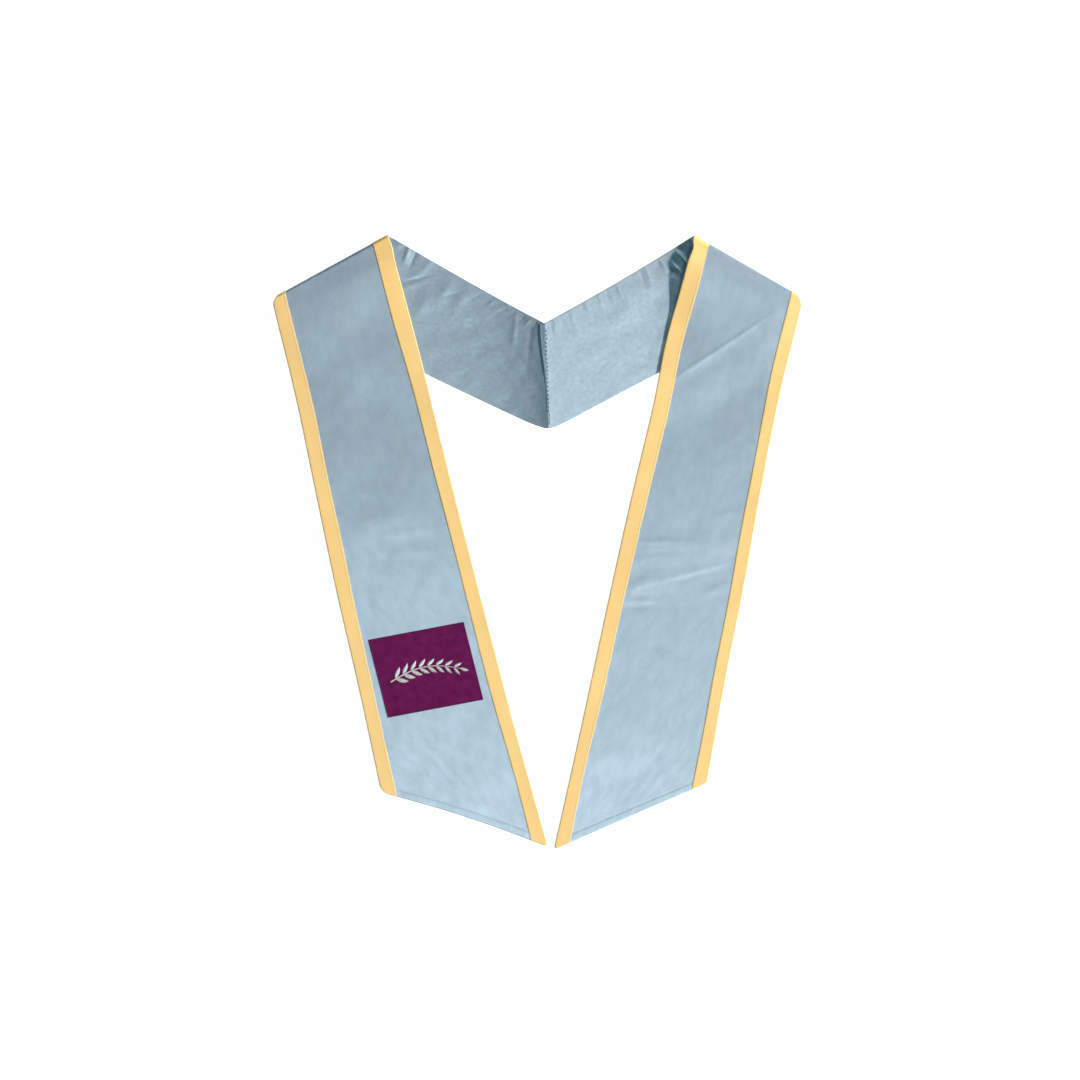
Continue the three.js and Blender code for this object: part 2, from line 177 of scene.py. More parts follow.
# Fine wrinkles of the panels' face
PANEL_WRINKLES = np.array([
    (160, 172, 34, 1.6, 0.42, 33), (198, 197, 24, 1.5, 0.22, 34),
    (152, 158, 26, 6.0, -0.20, 33), (213, 146, 12, 5.0, 0.25, 70),
    (116, -1, 22, 2.4, 0.26, 1), (120, -11, 24, 2.6, -0.17, 2),
    (148, -29, 40, 2.8, 0.16, 15), (140, -35, 34, 2.6, -0.16, 14),
    (180, 25, 13, 3.0, 0.16, 8), (97, -56, 16, 2.6, 0.17, 3),
    (98, -62, 17, 2.6, -0.16, 3), (166, -46, 12, 5.0, 0.40, 24),
    (99, -40, 13, 6.0, 0.40, 34), (-148, 20, 28, 4.5, 0.12, 6),
    (-118, 8, 24, 4.0, 0.14, 10), (-128, -12, 30, 5.0, 0.12, 4),
    (-160, 44, 26, 5.0, 0.10, 8), (-130, -210, 24, 2.5, -0.12, -16),
])

# The hem is pressed flat over its turning, which shows as a low band with a groove beside it
HEM_TURNING = 7.6
HEM_BAND_RISE = 0.09
HEM_BAND_SLOPE = 1.6
HEM_CREASE = -0.03
HEM_CREASE_WIDTH = 0.8

PATCH = dict(x=-103.9, y=-120.7, width=90.5, height=74.5, rise=10.7, lean=14.2)
PATCH_WALL = 0.35
PATCH_RIM = 0.35

# The lap reaches this far to each side of the seam, and its roll ends where it is pressed flat
LAP = dict(neck_left=4.7, outer_left=1.0, right=1.7)
LAP_WALL = 0.34
LAP_ROLL = 0.28
LAP_RIM = 0.5

# Stitches. Arch is how high a thread rises over its ends, and aside its distance from the edge
RIBBON_STITCH = dict(length=2.6, pitch=3.1, aside=1.3, first=2.0, last=3.2, arch=0.10, radius=0.16)
# The seam's thread is thick and its stitches low down are long: real stitches that also draw painted shade,
# the dark line of the shadowed crease at the lap's right edge
SEAM_STITCH_AND_SHADE = dict(length=3.4, short=2.2, pitch=3.7, aside=0.5, arch=0.16, radius=0.30)
BORDER_STITCH = dict(pitch=0.36, inward=1.0, outward=0.35, arch=0.22, radius=0.21)
LEAF_STITCH = dict(pitch=0.42, arch=0.45, radius=0.25)

# Laurel sprig: half its length, how far its stem bows, its pairs of leaves and the size of those
SPRIG = dict(half=33, bow=9.0, pairs=8, first_leaf=11.5, last_leaf=7.5, slender=0.20, middle=(-1.5, -0.5))

random = np.random.default_rng(8193)


def mix(a, b, t):
    """On the way from a to b, at share t of it."""
    return a + (b - a) * t


def smooth(t):
    """Rises from 0 to 1 as t does, level at both ends: 3 t squared less 2 t cubed."""
    t = np.clip(t, 0, 1)
    return t * t * (3 - 2 * t)


def read(where, run, values):
    """Values that stand in rows at the places of a run, read at other places of it."""
    return np.stack([np.interp(where, run, column) for column in values.T], axis=-1)


def bump(t):
    """0 at both ends and 1 halfway: 4 t less 4 t squared."""
    return 4 * t * (1 - t)


def off_line(x, y, a, b):
    """Distance of points from the line through a and b."""
    dx, dy = b[0] - a[0], b[1] - a[1]
    return np.abs((x - a[0]) * dy - (y - a[1]) * dx) / math.hypot(dx, dy)


def inset(d, radius):
    """How far a corner of that radius has cut into its edge at distance d: radius less the circle's chord."""
    near = np.clip(radius - d, 0, radius)
    return radius - np.sqrt(np.maximum(radius**2 - near**2, 0))


def wander(values, t):
    """A smooth curve through values at even steps, read at t: cubic through each two neighbours."""
    v = np.asarray(values, float)
    place = np.clip(t, 0, 1) * (len(v) - 1)
    i = np.clip(np.floor(place).astype(int), 0, len(v) - 2)
    w = place - i
    p0, p1, p2 = v[np.maximum(i - 1, 0)], v[i], v[i + 1]
    p3 = v[np.minimum(i + 2, len(v) - 1)]
    a, b = (p2 - p0) / 2, (p3 - p1) / 2
    return (2 * p1 - 2 * p2 + a + b) * w**3 + (3 * p2 - 3 * p1 - 2 * a - b) * w**2 + a * w + p1


def creases(table, x, y, sharp=2.0):
    """Sum of long low humps: height times exp(-(along/run)^2 - |across/width|^sharp)."""
    total = np.zeros_like(x)
    for cx, cy, run, width, height, turn in table:
        c, s = math.cos(math.radians(turn)), math.sin(math.radians(turn))
        along = ((x - cx) * c + (y - cy) * s) / run
        across = ((y - cy) * c - (x - cx) * s) / width
        total += height * np.exp(-along**2 - np.abs(across) ** sharp)
    return total


def rumple(x, y, waves, shortest, longest, slope, seed):
    """Uneven lie of cloth: a sum of plane waves of random direction, each as high as its length
    allows at that slope."""
    draw = np.random.default_rng(seed)
    total = np.zeros_like(x)
    for _ in range(waves):
        length = mix(shortest, longest, draw.random() ** 1.6)
        angle, phase = draw.random(2) * 2 * math.pi
        k = 2 * math.pi / length
        total += np.sin(k * (x * math.cos(angle) + y * math.sin(angle)) + phase) * slope / k
    return total / math.sqrt(waves / 2)


class Rows:
    """The rows of a strip, from the seam of the nape round the fold to the hem. kind is 0 on the nape,
    1 in the fold and 2 on the panel. share is the way from the fold to the far end, and angle goes
    from -90 under the fold to 90 over it."""

    def __init__(self, nape_steps, fold_steps, panel_steps):
        others = np.linspace(OTHERS_FROM / NAPE_LENGTH, 1, nape_steps)
        nape = np.concatenate([BY_FOLD / NAPE_LENGTH, others])[::-1]
        fold = np.linspace(-90, 90, fold_steps + 2)[1:-1]
        others = np.interp(np.linspace(0, 1, panel_steps), *CROWDING) / PANEL_LENGTH
        panel = np.concatenate([BY_FOLD / PANEL_LENGTH, others, 1 - BY_HEM / PANEL_LENGTH])
        sizes = [len(nape), len(fold), len(panel)]
        angle = np.concatenate([np.full(len(nape), -90.0), fold, np.full(len(panel), 90.0)])
        self.kind = np.repeat([0, 1, 2], sizes)[:, None]
        self.share = np.concatenate([nape, np.zeros(len(fold)), panel])[:, None]
        self.angle = np.radians(angle)[:, None]
        self.on_panel = self.kind == 2
        self.back = (self.kind == 0) | (self.angle < 0)
        self.to_hem = np.where(self.on_panel, (1 - self.share) * PANEL_LENGTH, 1e3)


def edges(half, rows, q):
    """Both edges of each row as seen from share q across it: the neck edge's x and y, and the outer
    edge's. Each is straight from the fold to its far corner, and then wanders and bows."""
    radius = loop(half, q)
    found = []
    neck_edge = (NOTCH, half["tip"], half["neck"])
    outer_edge = (NAPE_CORNER, half["corner"], half["shoulder"])
    for far_nape, far_panel, near in (neck_edge, outer_edge):
        reach_nape = off_line(*far_nape, half["neck"], half["shoulder"])
        reach_panel = off_line(*far_panel, half["neck"], half["shoulder"])
        reach = np.where(rows.back, reach_nape, reach_panel)
        t_fold = radius * (1 - np.cos(rows.angle)) / reach
        t = np.where(rows.kind == 1, t_fold, mix(radius / reach, 1, rows.share))
        aside = half["turn"] * SEAM_HALF_GAP
        x = np.where(rows.back, mix(near[0], far_nape[0] + aside, t), mix(near[0], far_panel[0], t))
        y = np.where(rows.back, mix(near[1], far_nape[1], t), mix(near[1], far_panel[1], t))
        if near is half["neck"]:
            sag = half["neck_sag"] * np.exp(-(((t - SAG_TOP) / SAG_RUN) ** 2)) * smooth((t - 0.010) / 0.04)
            moved = wander(half["neck_wander"], t) + pucker(half, rows.share) + sag
            x = np.where(rows.back, x, x + moved)
            y = np.where(rows.back, y + half["nape_neck_bow"] * bump(t), y)
        else:
            x = np.where(rows.back, x, x + wander(half["outer_wander"], t))
            y = np.where(rows.back, y + half["nape_outer_bow"] * bump(t), y)
            above = y - NAPE_CORNER[1]
            y = np.where(rows.back, y + np.hypot(above, NAPE_ROUND) - np.abs(above), y)
        found += [x, y]
    return found


def pucker(half, share):
    """How far the neck edge is drawn to the right just past the fold, at that share of the panel."""
    past = np.maximum(share - PUCKER_TOP, 0)
    return half["pucker"] * smooth(share / PUCKER_FROM) * np.exp(-((past / PUCKER_FADE) ** 2))


def loop(half, q):
    """Radius of the shoulder fold at share q of the width: open at the neck edge, tight at the shoulder."""
    return mix(half["neck_loop"], half["shoulder_loop"], np.clip(q, 0, 1))


class Outline:
    """What each row of a half needs to place its columns: its width, what the rounded corners cut from
    it at both ends, and the sine of its angle with both edges."""

    def __init__(self, half, rows):
        ax, ay, bx, by = edges(half, rows, np.full_like(rows.share, 0.5))
        self.width = np.hypot(bx - ax, by - ay)
        cut_tip = inset(rows.to_hem, half["tip_round"])
        cut_corner = inset(rows.to_hem, half["corner_round"])
        _, _, ox, oy = edges(half, rows, np.ones_like(rows.share))
        from_fold = off_line(ox, oy, half["neck"], half["shoulder"])
        self.cut_neck = np.where(rows.on_panel, cut_tip, 0)
        self.cut_outer = np.maximum(
            np.where(rows.on_panel, cut_corner, 0), inset(from_fold, half["shoulder_round"]))
        self.open_width = self.width - self.cut_neck - self.cut_outer
        front = np.where(rows.kind == 0, 0, np.where(rows.on_panel, 1, (rows.angle / math.pi) + 0.5))

        def sine(far, near):
            """Sine of the angle between each row and the edge from near to far."""
            dx, dy = bx - ax, by - ay
            ex, ey = far[0] - near[0], far[1] - near[1]
            return np.abs(dx * ey - dy * ex) / (np.hypot(dx, dy) * math.hypot(ex, ey))

        self.neck_sine = mix(sine(NOTCH, half["neck"]), sine(half["tip"], half["neck"]), front)
        self.outer_sine = mix(
            sine(NAPE_CORNER, half["shoulder"]), sine(half["corner"], half["shoulder"]), front)


def plan(half, rows, outline, s):
    """Plan x, y of points s millimetres along each row from its neck edge: the edges mixed by s over
    the width, with the hem's bow added. Also that share, q."""
    q = (outline.cut_neck + s) / outline.width
    ax, ay, bx, by = edges(half, rows, q)
    x, y = mix(ax, bx, q), mix(ay, by, q)
    bow = half["hem_bow"] * bump(q) * smooth(1 - rows.to_hem / HEM_BOW_REACH)
    return x, y + np.where(rows.on_panel, bow, 0), q


def ribbon_width(half, rows, edge_name):
    """Width of a ribbon along its edge, square to it: uneven on the panel, as it was sewn, and even
    under the nape."""
    table = half[f"{edge_name}_ribbon"]
    under_nape = mix(table[0], RIBBON_WIDTH, smooth(rows.share * 5))
    return np.where(rows.on_panel, wander(table, rows.share), under_nape)


def seam_x(y):
    """x of the nape's seam, a straight line from the notch to the nape's outer corner."""
    return mix(NOTCH[0], NAPE_CORNER[0], (NOTCH[1] - y) / (NOTCH[1] - NAPE_CORNER[1]))


def nape_height(x, y):
    """A ridge along the seam, which falls away fast to the left and slowly to the right, with gathers
    and uneven lie. Past the panels' neck edges, where nothing is seen, the fine part fades out."""
    d = x - seam_x(y)
    left = np.exp(-np.sqrt(d * d + 0.3) / RIDGE_RUN_LEFT)
    right = 1 - np.maximum(d, 0) / RIDGE_RUN_RIGHT
    right = (right + np.sqrt(right * right + 0.01)) / 2
    crest = np.exp(-np.sqrt(d * d + 0.5) / CREST_RUN)
    ridge = RIDGE_HEIGHT * np.where(d < 0, left, right) + CREST_HEIGHT * crest
    seen = smooth((x - NAPE_SEEN[0]) / NAPE_SEEN_FADE) * smooth((NAPE_SEEN[1] - x) / NAPE_SEEN_FADE)
    fine = creases(NAPE_WRINKLES, x, y, 1.7)
    fine += rumple(x, y, waves=26, shortest=6, longest=30, slope=0.027, seed=3)
    return NAPE_REST + ridge + creases(FOLDS, x, y) + fine * seen + NAPE_EASE * seen


def over_nape(half, x, y):
    """Distance of points inside the nape's outer edge, negative outside it."""
    a, b = half["shoulder"], NAPE_CORNER
    dx, dy = b[0] - a[0], b[1] - a[1]
    side = (x - a[0]) * dy - (y - a[1]) * dx
    inside = (half["neck"][0] - a[0]) * dy - (half["neck"][1] - a[1]) * dx
    return side * math.copysign(1, inside) / math.hypot(dx, dy)


def panel_height(half, x, y, q):
    """Height of a panel: lifted by the fold's loop and swelling up past it, then lying on the nape,
    then stepping down to the floor. easy is 0 at the fold, so that the fine part starts beyond it."""
    radius = loop(half, q)
    from_fold = off_line(x, y, half["neck"], half["shoulder"])
    lift = NAPE_REST + 2 * radius - PANEL_ON_NAPE
    fade = (1 + np.cos(math.pi * np.clip((from_fold - radius) / half["settle"], 0, 1))) / 2
    step = smooth(1 + over_nape(half, x, y) / STEP_DOWN)
    swell = half["swell"] * (1 - np.clip(q, 0, 1)) ** 2 * smooth((from_fold - radius) / SWELL_RUN)
    base = mix(PANEL_REST, PANEL_ON_NAPE, step) + (lift + swell) * fade
    fine = creases(PANEL_WRINKLES, x, y, 1.7)
    fine += rumple(x, y, waves=30, shortest=16, longest=90, slope=0.012, seed=5)
    easy = smooth((from_fold - radius) / EASE_RUN)
    sway = sum(height * np.exp(-(((y - middle) / run) ** 2)) for middle, run, height in half["sway"])
    return base + creases(FOLDS, x, y) + (fine + sway + PANEL_EASE) * easy


def middle_surface(half, rows, outline, s):
    """Points of the middle surface at s along each row, and its normals, which point to the face side."""
    x, y, q = plan(half, rows, outline, s)
    fold_z = NAPE_REST + loop(half, q) * (1 + np.sin(rows.angle))
    meets = smooth(rows.share * NAPE_LENGTH / 14)
    nape_z = mix(NAPE_REST, nape_height(x, y), meets)
    z = np.where(rows.kind == 0, nape_z, np.where(rows.on_panel, panel_height(half, x, y, q), fold_z))
    points = np.stack([x, y, z], axis=-1)
    along = np.gradient(points, axis=0)
    across = np.gradient(points, axis=1)
    normals = np.cross(along, across) * half["turn"]
    normals /= np.linalg.norm(normals, axis=-1, keepdims=True)
    return points, normals


def hem_band(rows, s, outline):
    """Extra height of the face over the hem's turning: a low step with a groove along its inner side."""
    past = rows.to_hem - HEM_TURNING
    band = HEM_BAND_RISE * smooth(0.5 - past / HEM_BAND_SLOPE)
    groove = HEM_CREASE * np.exp(-(((past - 0.7) / HEM_CREASE_WIDTH) ** 2))
    inside = smooth((s - RIBBON_WIDTH) / 2) * smooth((outline.open_width - s - RIBBON_WIDTH) / 2)
    return (band + groove) * inside


def rim(d, radius, least):
    """Thickness share near an edge: a quarter circle of that radius, never under the least share."""
    near = np.clip(1 - d / radius, 0, 1)
    return np.maximum(np.sqrt(1 - near**2), least)


def outward(points, faces):
    """The faces, all turned if the volume that they hold comes out negative."""
    corner, volume = points[faces], 0
    for k in range(1, faces.shape[1] - 1):
        volume += np.sum(corner[:, 0] * np.cross(corner[:, k], corner[:, k + 1]))
    return faces if volume > 0 else faces[:, ::-1]


def closed_wall(name, top, bottom, uv):
    """One closed body between two grids of points, rows by columns, whose edges a ring of faces
    joins. uv is in metres."""
    n, m = top.shape[:2]
    points = np.concatenate([top.reshape(-1, 3), bottom.reshape(-1, 3)]) * MM
    index = np.arange(n * m).reshape(n, m)
    a, b, c, d = index[:-1, :-1], index[1:, :-1], index[1:, 1:], index[:-1, 1:]
    face = np.stack([a, b, c, d], axis=-1).reshape(-1, 4)
    back = face[:, ::-1] + n * m
    ring = np.concatenate([index[0, :-1], index[:-1, -1], index[-1, :0:-1], index[:0:-1, 0]])
    after = np.roll(ring, -1)
    side = np.stack([ring, after, after + n * m, ring + n * m], axis=-1)
    faces = outward(points, np.concatenate([face, back, side]))
    return mesh_object(name, points, faces, np.concatenate([uv.reshape(-1, 2)] * 2))


def mesh_object(name, points, faces, uv=None):
    """A smooth shaded object from points in metres and faces of one size, with a uv per point."""
    mesh = bpy.data.meshes.new(name)
    size = faces.shape[1]
    mesh.vertices.add(len(points))
    mesh.vertices.foreach_set("co", points.astype(np.float32).ravel())
    mesh.loops.add(faces.size)
    mesh.loops.foreach_set("vertex_index", faces.astype(np.int32).ravel())
    mesh.polygons.add(len(faces))
    mesh.polygons.foreach_set("loop_start", np.arange(0, faces.size, size, dtype=np.int32))
    mesh.polygons.foreach_set("use_smooth", np.ones(len(faces), bool))
    if uv is not None:
        layer = mesh.uv_layers.new(name="cloth")
        layer.data.foreach_set("uv", uv[faces.ravel()].astype(np.float32).ravel())
    mesh.update(calc_edges=True)
    mesh.validate()
    obj = bpy.data.objects.new(name, mesh)
    scene.collection.objects.link(obj)
    return obj


def columns(outline, edge_steps, count, start=None, stop=None):
    """Distances along each row at which columns stand, closer together at both ends."""
    start = np.zeros_like(outline.width) if start is None else start
    stop = outline.open_width if stop is None else stop
    steps = np.array(edge_steps)[None, :]
    first, last = start + steps, stop - steps[:, ::-1]
    t = np.linspace(0, 1, count + 2)[None, 1:-1]
    return np.concatenate([first, mix(first[:, -1:], last[:, :1], t), last], axis=1)


def strip_uv(points, s):
    """Distance across the strip, and distance along its middle, both in metres."""
    middle = points[:, points.shape[1] // 2]
    step = np.linalg.norm(np.diff(middle, axis=0), axis=1)
    run = np.concatenate([[0], np.cumsum(step)])[:, None]
    return np.stack([s * MM, np.broadcast_to(run * MM, s.shape)], axis=-1)


def cloth_layers(side, half):
    """Face satin and lining of one half, whose outer sides round off to meet at the edges."""
    rows = Rows(*CLOTH_ROWS)
    outline = Outline(half, rows)
    s = columns(outline, CLOTH_EDGE_STEPS, CLOTH_COLUMNS)
    points, normals = middle_surface(half, rows, outline, s)
    edge = np.minimum(np.minimum(s, outline.open_width - s), rows.to_hem)
    thick = rim(edge, CLOTH_RIM, 0.1)[..., None]
    uv = strip_uv(points, s)
    extra = hem_band(rows, s, outline)[..., None]
    face_out = points + normals * (SEAM_GAP + SATIN_WALL * thick + extra)
    lining_out = points - normals * (SEAM_GAP + LINING_WALL * thick)
    face = closed_wall(f"{side}_face_satin", face_out, points + normals * SEAM_GAP, uv)
    lining = closed_wall(f"{side}_lining", points - normals * SEAM_GAP, lining_out, uv)
    return face, lining


def ribbon(side, half, edge_name):
    """A flat ribbon on the face, along the neck edge or the outer edge, over the satin's rounded rim."""
    rows = Rows(*RIBBON_ROWS)
    outline = Outline(half, rows)
    wide = ribbon_width(half, rows, edge_name)
    if edge_name == "neck":
        drawn = np.where(rows.on_panel, half["turn"] * pucker(half, rows.share), 0)
        width = wide / outline.neck_sine - outline.cut_neck - drawn
        s = columns(outline, RIBBON_EDGE_STEPS, RIBBON_COLUMNS, stop=width)
        from_edge = s
    else:
        width = wide / outline.outer_sine - outline.cut_outer
        s = columns(outline, RIBBON_EDGE_STEPS, RIBBON_COLUMNS, start=outline.open_width - width)
        from_edge = outline.open_width - s
    points, normals = middle_surface(half, rows, outline, s)
    start = s[:, :1]
    inner = np.minimum(s - start, s[:, -1:] - s)
    edge = np.minimum(from_edge, rows.to_hem)
    under = SEAM_GAP + SATIN_WALL * rim(edge, CLOTH_RIM, 0.1) + LAYER_AIR
    wall = RIBBON_WALL * rim(np.minimum(inner, rows.to_hem), RIBBON_RIM, 0.4)
    low = points + normals * under[..., None]
    high = points + normals * (under + wall)[..., None]
    return closed_wall(f"{side}_{edge_name}_ribbon", high, low, strip_uv(points, s - start))


def seam_lap():
    """The pressed lap over the seam of the nape, following the ridge. It is wider at the neck, where
    its left edge is rolled, and pressed flat further down."""
    t = np.linspace(0, 1, 90)[:, None]
    y = mix(NOTCH[1] - 0.4, NAPE_CORNER[1] + NAPE_ROUND + 0.3, t)
    left = mix(LAP["neck_left"], LAP["outer_left"], smooth(t / 0.7))
    left = left + 0.25 * np.sin(9 * t) * (1 - t)
    w = np.concatenate([[0, 0.05, 0.14, 0.26], np.linspace(0.4, 0.9, 8), [0.95, 1]])[None, :]
    x = seam_x(y) + mix(-left, LAP["right"], w)
    width, length = left + LAP["right"], NOTCH[1] - NAPE_CORNER[1]
    edge = np.minimum(np.minimum(w, 1 - w) * width, np.minimum(t, 1 - t) * length)
    pressed = smooth((t - 0.3) / 0.35)
    roll = LAP_ROLL * np.exp(-((w * width) ** 2)) * (1 - pressed)
    taper = (1 - 0.85 * smooth(w)) * (1 - 0.7 * pressed * (1 - w))
    wall = (LAP_WALL * taper + roll) * rim(edge, LAP_RIM, 0.12)
    low = np.stack([x, np.broadcast_to(y, x.shape), nape_height(x, y) + FACE_TOP + 0.05], axis=-1)
    high = low + np.array([0, 0, 1]) * wall[..., None]
    uv = np.stack([w * width * MM, np.broadcast_to(t * 0.1, x.shape)], axis=-1)
    return closed_wall("nape_seam_lap", high, low, uv)


def patch_point(a, d):
    """Plan x, y of a point of the patch, a across and d down from its middle, in millimetres."""
    rise, lean = math.radians(PATCH["rise"]), math.radians(PATCH["lean"])
    x = PATCH["x"] + math.cos(rise) * a + math.sin(lean) * d
    y = PATCH["y"] + math.sin(rise) * a - math.cos(lean) * d
    return x, y


def patch_height(x, y):
    """Height of the patch's underside, a little over the satin of the panel that it is sewn to."""
    return panel_height(HALVES["left"], x, y, 0.5) + FACE_TOP + LAYER_AIR


def on_patch(points, lift):
    """Points of the patch, a and d in each row, as x, y, z at lift over its underside."""
    x, y = patch_point(*points.T)
    return np.stack([x, y, patch_height(x, y) + lift], axis=1)


def plum_patch():
    """The patch as a thin sheet on the satin, its rim rounded."""
    steps = np.array([0, 0.1, 0.3, 0.7])

    def spread(size, count):
        """Distances from the middle over that size, closer together at both ends."""
        return np.concatenate([steps, np.linspace(1.5, size - 1.5, count), size - steps[::-1]]) - size / 2

    a, d = spread(PATCH["width"], 60)[None, :], spread(PATCH["height"], 50)[:, None]
    x, y = patch_point(a, d)
    low = np.stack([x, y, patch_height(x, y)], axis=-1)
    edge = np.minimum(PATCH["width"] / 2 - np.abs(a), PATCH["height"] / 2 - np.abs(d))
    high = low + np.array([0, 0, 1]) * (PATCH_WALL * rim(edge, PATCH_RIM, 0.3))[..., None]
    uv = np.stack(np.broadcast_arrays((a + 60) * MM, (d + 60) * MM), axis=-1)
    return closed_wall("patch", high, low, uv)


def thread_run(name, starts, ends, stitch, sides=5, steps=4, sink=0.0, ups=None):
    """Many short threads at once. Each is a tube of the stitch's radius from its start to its end,
    lowered by sink and arched up by arch times the sine of its way along, narrowing to a point at
    both ends. ups says which way is up for each, where that isn't straight up."""
    count = len(starts)
    t = np.linspace(0, 1, steps + 1)
    way = ends - starts
    length = np.linalg.norm(way, axis=1, keepdims=True)
    way = way / length
    up = np.tile([0.0, 0.0, 1.0], (count, 1)) if ups is None else ups
    side = np.cross(way, up)
    side /= np.linalg.norm(side, axis=1, keepdims=True)
    up = np.cross(side, way)
    arch = (np.sin(math.pi * t) * stitch["arch"])[None, :, None] - sink
    centre = mix(starts[:, None], ends[:, None], t[None, :, None]) + up[:, None] * arch
    girth = stitch["radius"] * np.clip(np.sin(math.pi * t) * 3.0, 0.25, 1)[None, :, None, None]
    turn = np.linspace(0, 2 * math.pi, sides, endpoint=False)[None, None, :, None]
    ring = side[:, None, None] * np.cos(turn) + up[:, None, None] * np.sin(turn)
    tube = centre[:, :, None] + ring * girth
    first, last = centre[:, :1], centre[:, -1:]
    block = (steps + 1) * sides
    points = np.concatenate([tube.reshape(count, block, 3), first, last], axis=1)
    i, j = np.meshgrid(np.arange(steps), np.arange(sides), indexing="ij")
    a, b = i * sides + j, i * sides + (j + 1) % sides
    quads = np.stack([a, b, b + sides, a + sides], axis=-1).reshape(-1, 4)
    cap_a = np.stack([b[0], a[0], np.full(sides, block)], axis=-1)
    cap_b = np.stack([a[-1] + sides, b[-1] + sides, np.full(sides, block + 1)], axis=-1)
    triangles = np.concatenate([quads[:, [0, 1, 2]], quads[:, [0, 2, 3]], cap_a, cap_b])
    faces = (triangles[None] + (np.arange(count) * (block + 2))[:, None, None]).reshape(-1, 3)
    points = points.reshape(-1, 3) * MM
    return mesh_object(name, points, outward(points, faces))


def ribbon_stitches(side, half):
    """Lock stitches along both edges of both ribbons, each a short thread lying in the ribbon's face."""
    rows = Rows(*RIBBON_ROWS)
    outline = Outline(half, rows)
    neck = ribbon_width(half, rows, "neck") / outline.neck_sine
    outer = ribbon_width(half, rows, "outer") / outline.outer_sine
    aside, length = RIBBON_STITCH["aside"], RIBBON_STITCH["length"]
    lines = [
        np.full_like(neck, aside), neck - outline.cut_neck - aside,
        outline.open_width - aside, outline.open_width - outer + outline.cut_outer + aside,
    ]
    starts, ends, ups = [], [], []
    for line in lines:
        spread = np.concatenate([line - 0.5, line, line + 0.5], axis=1)
        points, normals = middle_surface(half, rows, outline, spread)
        path = (points + normals * (RIBBON_TOP + 0.02))[:, 1]
        normal = normals[:, 1]
        keep = rows.to_hem[:, 0] > 1.2
        path, normal = path[keep], normal[keep]
        run = np.concatenate([[0], np.cumsum(np.linalg.norm(np.diff(path, axis=0), axis=1))])
        places = np.arange(RIBBON_STITCH["first"], run[-1] - RIBBON_STITCH["last"], RIBBON_STITCH["pitch"])
        starts.append(read(places, run, path))
        ends.append(read(places + length, run, path))
        ups.append(read(places + length / 2, run, normal))
    return thread_run(
        f"{side}_ribbon_stitches", np.concatenate(starts), np.concatenate(ends), RIBBON_STITCH,
        sink=0.08, ups=np.concatenate(ups))


def seam_stitches_and_painted_shade():
    """Hand stitches that hold the lap down along the seam of the nape, a little uneven in length and
    slant, and short near the neck. Lower down they are long and nearly meet, so that with the thick
    dark thread they also stand as painted shade: the dark line of the shadowed crease by the lap's right
    edge."""
    y = np.arange(NOTCH[1] - 6, NAPE_CORNER[1] + NAPE_ROUND + 4, -SEAM_STITCH_AND_SHADE["pitch"])
    jitter = random.normal(0, 0.22, (len(y), 3))
    x = seam_x(y) + LAP["right"] - SEAM_STITCH_AND_SHADE["aside"] + jitter[:, 0] * 0.5
    # Low down the stitches are long and nearly join, a dark line of painted shade for the crease by the lap's
    # right edge
    long_for_painted_shade = y < mix(NOTCH[1], NAPE_CORNER[1], 0.6)
    y_end = y - np.where(long_for_painted_shade, SEAM_STITCH_AND_SHADE["length"], SEAM_STITCH_AND_SHADE["short"]) + jitter[:, 1]
    x_end = x + jitter[:, 2]
    lift = FACE_TOP + 0.40
    starts = np.stack([x, y, nape_height(x, y) + lift], axis=1)
    ends = np.stack([x_end, y_end, nape_height(x_end, y_end) + lift], axis=1)
    return thread_run("nape_seam_stitches", starts, ends, SEAM_STITCH_AND_SHADE, sides=6, steps=5, sink=0.10)


def patch_border():
    """Satin stitch round the patch: threads side by side, laid a little slantwise across its edge."""
    w, h = PATCH["width"] / 2, PATCH["height"] / 2
    inward, pitch = BORDER_STITCH["inward"], BORDER_STITCH["pitch"]
    across, down = np.arange(-w, w, pitch), np.arange(-h, h, pitch)

    def around(reach, slant):
        """Points on the four sides in turn, reach outside the patch's edge and slant further along it."""
        a, d = across + slant, down + slant
        wide, high = np.full_like(d, w + reach), np.full_like(a, h + reach)
        sides = [(a, -high), (wide, d), (-a, high), (-wide, -d)]
        return np.concatenate([np.stack(pair, axis=1) for pair in sides])

    inner, outer = around(-inward, 0), around(BORDER_STITCH["outward"], 0.1)
    limit = np.array([w - inward * 0.3, h - inward * 0.3])
    starts = on_patch(np.clip(inner, -limit, limit), PATCH_WALL)
    return thread_run("patch_border", starts, on_patch(outer, -0.02), BORDER_STITCH)


def leaf_threads(base, tip, width):
    """Starts and ends of the satin stitch of one leaf, laid slantwise across it. Its half width is
    width times the sine of the way along, drawn towards the base."""
    way = tip - base
    length = np.hypot(*way)
    way /= length
    side = np.array([-way[1], way[0]])
    count = max(6, int(length / LEAF_STITCH["pitch"]))
    t = (np.arange(count) + 0.5) / count
    half_width = width * np.sin(math.pi * t**0.8) ** 0.8
    middle = base + way * (t * length)[:, None]
    slant = way * (half_width * 0.45)[:, None]
    return middle - side * half_width[:, None] - slant, middle + side * half_width[:, None] + slant


